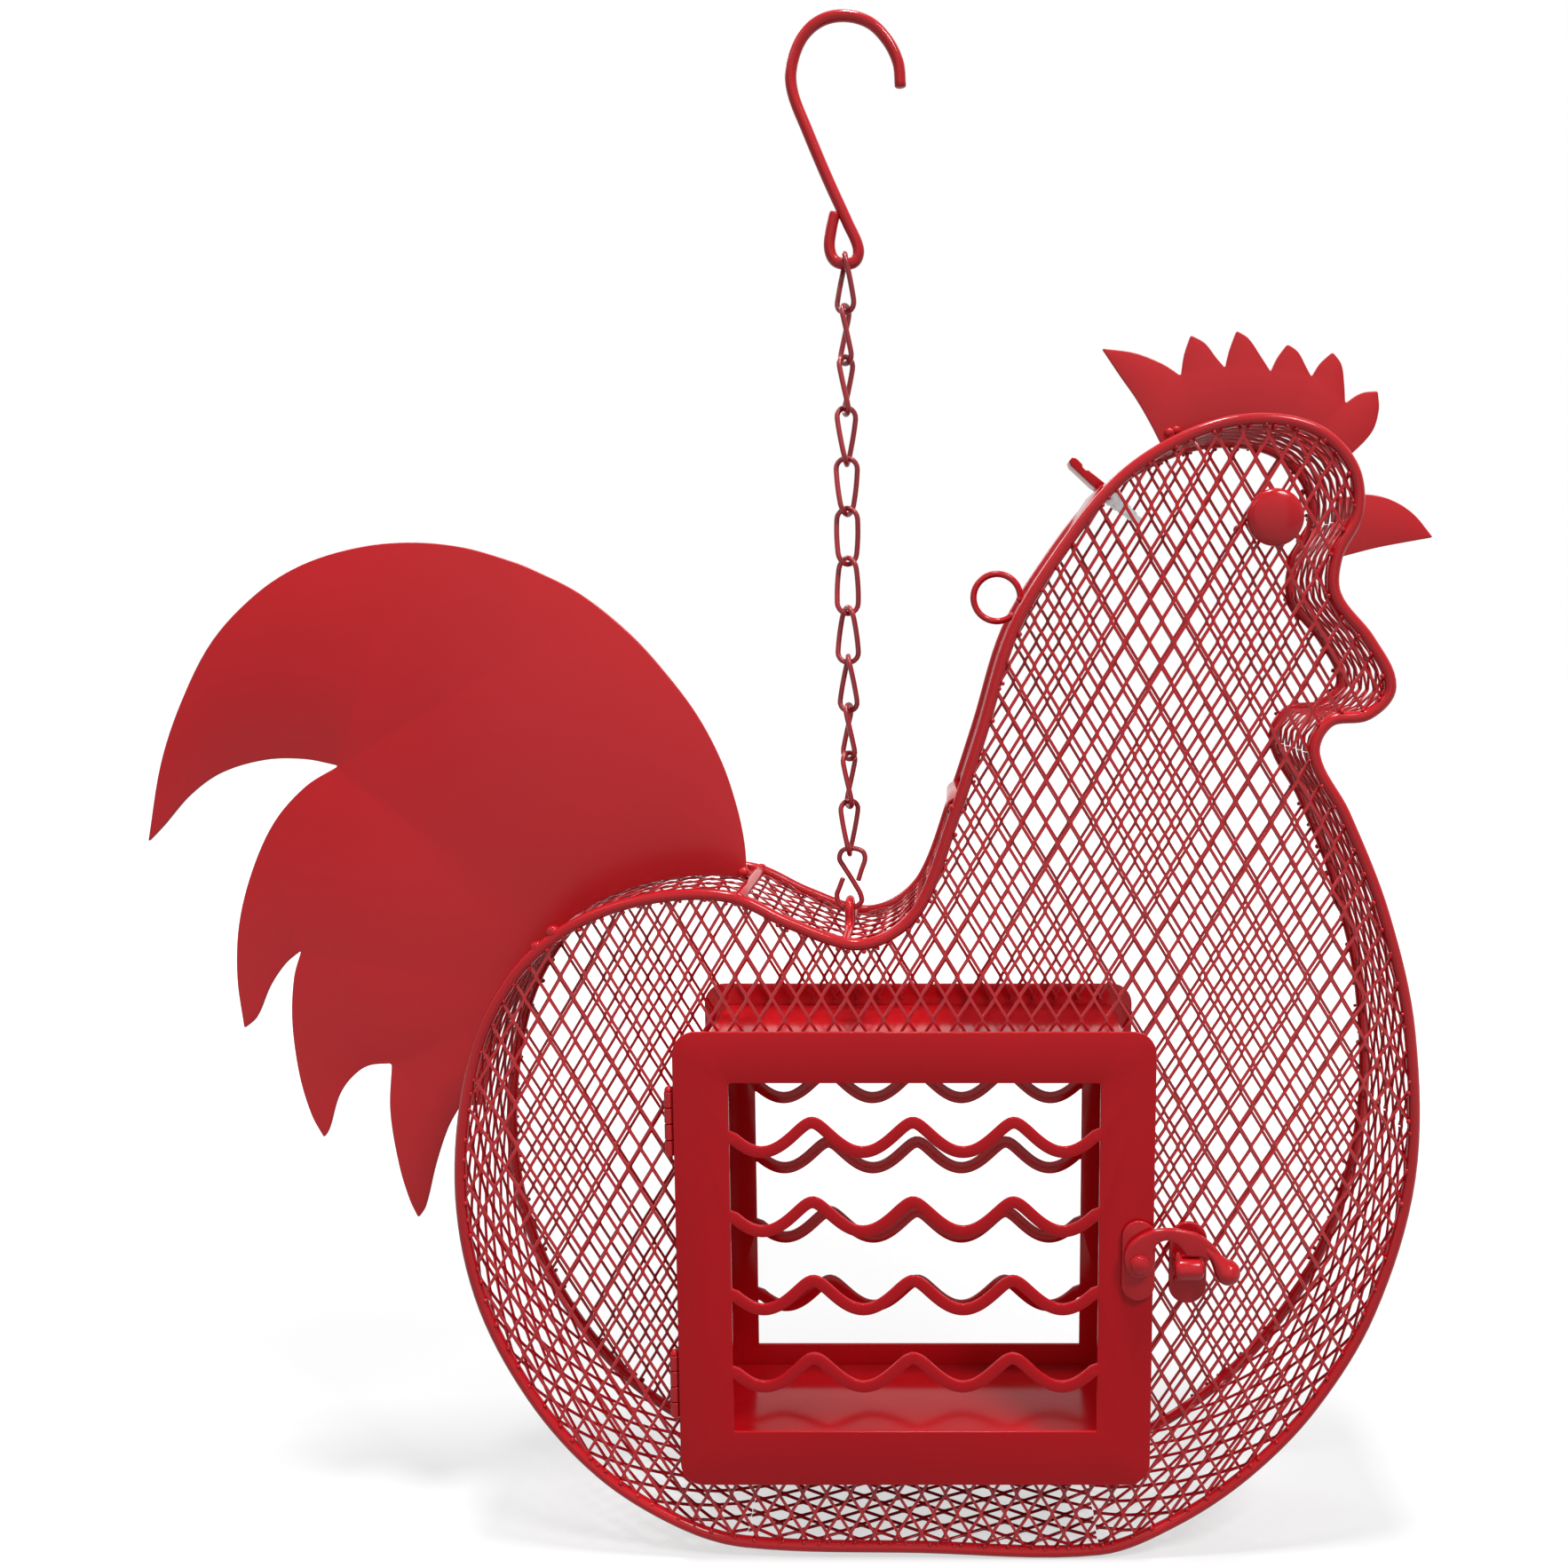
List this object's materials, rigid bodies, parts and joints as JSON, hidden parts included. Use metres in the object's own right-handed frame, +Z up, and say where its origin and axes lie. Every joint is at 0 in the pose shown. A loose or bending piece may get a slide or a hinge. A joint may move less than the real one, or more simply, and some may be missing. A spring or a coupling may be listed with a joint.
{
  "type": "suet feeder",
  "caption": "Hanging wire bird feeder shaped like a cockerel, with a suet box behind a hinged grille door, seed space within expanded metal, a filler lid and a chain with hooks.",
  "frame": {"origin": "inside of the top hook's crown, where it rests on what holds it", "axes": "+Z up along the chain, +X to the head, +Y to the back"},
  "size_m": [0.3932, 0.065, 0.4624],
  "materials": {
    "red_powder_coat": "gloss powder coat",
    "bare_zinc": "zinc plate"
  },
  "bodies": {
    "top_hook": {"top_hook": "red_powder_coat"},
    "chain_link_01": {"chain_link_01": "red_powder_coat"},
    "chain_link_02": {"chain_link_02": "red_powder_coat"},
    "chain_link_03": {"chain_link_03": "red_powder_coat"},
    "chain_link_04": {"chain_link_04": "red_powder_coat"},
    "chain_link_05": {"chain_link_05": "red_powder_coat"},
    "chain_link_06": {"chain_link_06": "red_powder_coat"},
    "chain_link_07": {"chain_link_07": "red_powder_coat"},
    "chain_link_08": {"chain_link_08": "red_powder_coat"},
    "chain_link_09": {"chain_link_09": "red_powder_coat"},
    "chain_link_10": {"chain_link_10": "red_powder_coat"},
    "chain_link_11": {"chain_link_11": "red_powder_coat"},
    "chain_link_12": {"chain_link_12": "red_powder_coat"},
    "s_hook": {"s_hook": "red_powder_coat"},
    "feeder": {"front_frame": "red_powder_coat", "back_frame": "red_powder_coat", "front_mesh": "red_powder_coat", "back_mesh": "red_powder_coat", "band_saddle_left": "red_powder_coat", "band_tail": "red_powder_coat", "band_rump": "red_powder_coat", "band_base": "red_powder_coat", "band_belly": "red_powder_coat", "band_chest": "red_powder_coat", "band_throat": "red_powder_coat", "band_crown": "red_powder_coat", "band_saddle_right": "red_powder_coat", "hanger_rod": "red_powder_coat", "tail_rod": "red_powder_coat", "rear_rod": "red_powder_coat", "lid_rod": "red_powder_coat", "neck_rod": "red_powder_coat", "suet_box": "red_powder_coat", "back_grille": "red_powder_coat", "hinge_frame_leaf_upper": "red_powder_coat", "hinge_frame_leaf_lower": "red_powder_coat", "hinge_pin_upper": "red_powder_coat", "hinge_pin_lower": "red_powder_coat", "keeper_plate": "red_powder_coat", "keeper_staple": "red_powder_coat", "eye_front": "red_powder_coat", "eye_back": "red_powder_coat", "tail": "red_powder_coat", "comb": "red_powder_coat", "beak": "red_powder_coat", "catch_tab": "red_powder_coat", "catch_spring": "bare_zinc"},
    "door": {"door": "red_powder_coat", "hinge_door_leaf_upper": "red_powder_coat", "hinge_door_leaf_lower": "red_powder_coat", "latch_plate": "red_powder_coat", "latch_rivet": "red_powder_coat"},
    "latch_arm": {"latch_arm": "red_powder_coat"},
    "lid": {"lid": "red_powder_coat", "pull_ring": "red_powder_coat"}
  },
  "joints": [
    {"name": "link_01_swing", "type": "hinge", "parent": "top_hook", "child": "chain_link_01", "pos_m": [0, 0, -0.0678], "axis": [1, 0, 0], "range_deg": [-30, 30]},
    {"name": "link_02_swing", "type": "hinge", "parent": "chain_link_01", "child": "chain_link_02", "pos_m": [0, 0, -0.08167], "axis": [0.9135, -0.4067, 0], "range_deg": [-30, 30]},
    {"name": "link_03_swing", "type": "hinge", "parent": "chain_link_02", "child": "chain_link_03", "pos_m": [0, 0, -0.09645], "axis": [-0.6947, 0.7193, 0], "range_deg": [-30, 30]},
    {"name": "link_04_swing", "type": "hinge", "parent": "chain_link_03", "child": "chain_link_04", "pos_m": [0, 0, -0.11123], "axis": [0.3746, -0.9272, 0], "range_deg": [-30, 30]},
    {"name": "link_05_swing", "type": "hinge", "parent": "chain_link_04", "child": "chain_link_05", "pos_m": [0, 0, -0.126], "axis": [0, 1, 0], "range_deg": [-30, 30]},
    {"name": "link_06_swing", "type": "hinge", "parent": "chain_link_05", "child": "chain_link_06", "pos_m": [0, 0, -0.14078], "axis": [-0.3746, -0.9272, 0], "range_deg": [-30, 30]},
    {"name": "link_07_swing", "type": "hinge", "parent": "chain_link_06", "child": "chain_link_07", "pos_m": [0, 0, -0.15555], "axis": [0.6947, 0.7193, 0], "range_deg": [-30, 30]},
    {"name": "link_08_swing", "type": "hinge", "parent": "chain_link_07", "child": "chain_link_08", "pos_m": [0, 0, -0.17033], "axis": [-0.9135, -0.4067, 0], "range_deg": [-30, 30]},
    {"name": "link_09_swing", "type": "hinge", "parent": "chain_link_08", "child": "chain_link_09", "pos_m": [0, 0, -0.1851], "axis": [0.9994, 0.0349, 0], "range_deg": [-30, 30]},
    {"name": "link_10_swing", "type": "hinge", "parent": "chain_link_09", "child": "chain_link_10", "pos_m": [0, 0, -0.19987], "axis": [-0.9397, 0.342, 0], "range_deg": [-20, 20]},
    {"name": "link_11_swing", "type": "hinge", "parent": "chain_link_10", "child": "chain_link_11", "pos_m": [0, 0, -0.21465], "axis": [0.7431, -0.6691, 0], "range_deg": [-20, 20]},
    {"name": "link_12_swing", "type": "hinge", "parent": "chain_link_11", "child": "chain_link_12", "pos_m": [0, 0, -0.22942], "axis": [-0.4384, 0.8988, 0], "range_deg": [-20, 20]},
    {"name": "s_hook_swing", "type": "hinge", "parent": "chain_link_12", "child": "s_hook", "pos_m": [0, 0, -0.2442], "axis": [0, 1, 0], "range_deg": [-20, 30]},
    {"name": "feeder_swing", "type": "hinge", "parent": "s_hook", "child": "feeder", "pos_m": [0, 0, -0.2612], "axis": [1, 0, 0], "range_deg": [-35, 35]},
    {"name": "door_hinge", "type": "hinge", "parent": "feeder", "child": "door", "pos_m": [-0.052, -0.02765, -0.3625], "axis": [0, 0, -1], "range_deg": [0, 120]},
    {"name": "latch_pivot", "type": "hinge", "parent": "door", "child": "latch_arm", "pos_m": [0.0869, -0.03225, -0.3613], "axis": [0, -1, 0], "range_deg": [0, 70]},
    {"name": "lid_hinge", "type": "hinge", "parent": "feeder", "child": "lid", "pos_m": [0.0329, 0, -0.2269], "axis": [0, -1, 0], "range_deg": [0, 28]}
  ]
}
